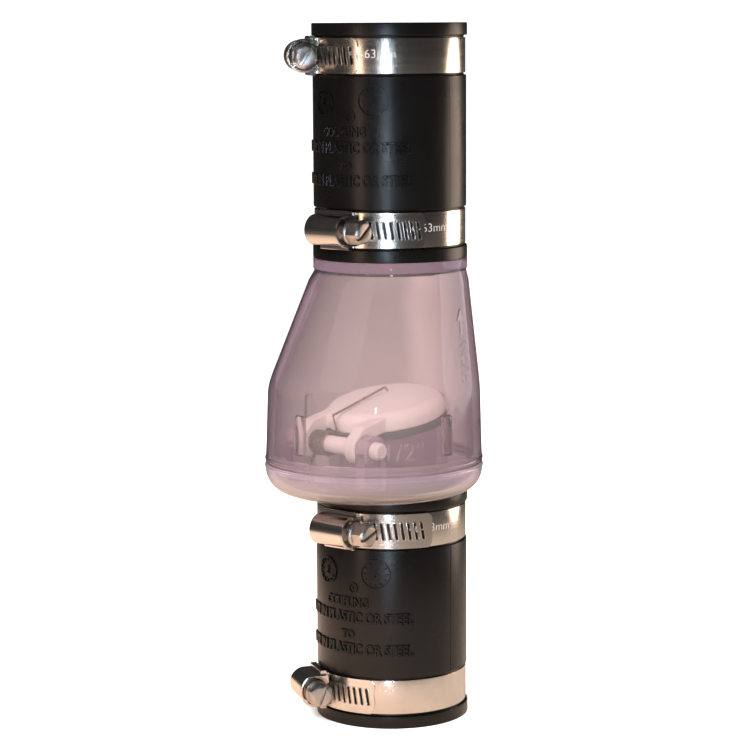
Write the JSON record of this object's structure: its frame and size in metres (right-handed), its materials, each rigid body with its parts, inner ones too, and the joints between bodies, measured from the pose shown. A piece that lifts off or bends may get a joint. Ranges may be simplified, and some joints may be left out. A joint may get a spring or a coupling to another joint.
{
  "type": "swing check valve",
  "caption": "In-line swing check valve for nominal 1-1/2 inch pipe: clear two-piece body with a sprung hinged flapper, rubber sleeve couplings and worm-drive clamps.",
  "frame": {"origin": "centre of the bottom face of the inlet coupling, on the pipe axis", "axes": "+Z along the pipe in the flow direction, +Y along the hinge pin of the flapper, -X towards the hinge and the bulge of the body"},
  "size_m": [0.081, 0.081, 0.2577],
  "materials": {
    "black_rubber": "moulded, slightly satin",
    "clear_pvc": "clear, faint violet tint, moulded",
    "white_plastic": "moulded, semi-gloss",
    "seal_rubber": "matte",
    "stainless_sheet": "bright rolled strip",
    "stainless_screw": "bright turned and rolled",
    "spring_wire": "bright drawn wire"
  },
  "bodies": {
    "valve": {"inlet_coupling": "black_rubber", "outlet_coupling": "black_rubber", "valve_base": "clear_pvc", "valve_bonnet": "clear_pvc", "hinge_pin": "white_plastic", "torsion_spring": "spring_wire", "inlet_clamp_low_band": "stainless_sheet", "inlet_clamp_low_saddle": "stainless_sheet", "inlet_clamp_low_housing": "stainless_sheet", "inlet_clamp_high_band": "stainless_sheet", "inlet_clamp_high_saddle": "stainless_sheet", "inlet_clamp_high_housing": "stainless_sheet", "outlet_clamp_low_band": "stainless_sheet", "outlet_clamp_low_saddle": "stainless_sheet", "outlet_clamp_low_housing": "stainless_sheet", "outlet_clamp_high_band": "stainless_sheet", "outlet_clamp_high_saddle": "stainless_sheet", "outlet_clamp_high_housing": "stainless_sheet"},
    "flapper": {"flapper": "white_plastic", "flapper_seal": "seal_rubber", "seal_retainer": "stainless_sheet", "seal_screw": "stainless_screw"},
    "inlet_clamp_low_screw": {"inlet_clamp_low_screw": "stainless_screw"},
    "inlet_clamp_high_screw": {"inlet_clamp_high_screw": "stainless_screw"},
    "outlet_clamp_low_screw": {"outlet_clamp_low_screw": "stainless_screw"},
    "outlet_clamp_high_screw": {"outlet_clamp_high_screw": "stainless_screw"}
  },
  "joints": [
    {"name": "flapper_swing", "type": "hinge", "parent": "valve", "child": "flapper", "pos_m": [-0.029, 0, 0.1052], "axis": [0, -1, 0], "range_deg": [0, 62], "stiffness_Nm_per_rad": 0.04, "springref_deg": -28.65, "deforming": ["torsion_spring"]},
    {"name": "inlet_clamp_low_screw_turn", "type": "hinge", "parent": "valve", "child": "inlet_clamp_low_screw", "pos_m": [-0.02896, 0.01476, 0.01175], "axis": [-0.454, -0.891, 0], "continuous": true},
    {"name": "inlet_clamp_high_screw_turn", "type": "hinge", "parent": "valve", "child": "inlet_clamp_high_screw", "pos_m": [-0.03238, -0.00283, 0.07395], "axis": [0.0872, -0.9962, 0], "continuous": true},
    {"name": "outlet_clamp_low_screw_turn", "type": "hinge", "parent": "valve", "child": "outlet_clamp_low_screw", "pos_m": [-0.03245, -0.0017, 0.18375], "axis": [0.0523, -0.9986, 0], "continuous": true},
    {"name": "outlet_clamp_high_screw_turn", "type": "hinge", "parent": "valve", "child": "outlet_clamp_high_screw", "pos_m": [-0.02596, 0.01956, 0.24595], "axis": [-0.6018, -0.7986, 0], "continuous": true}
  ]
}
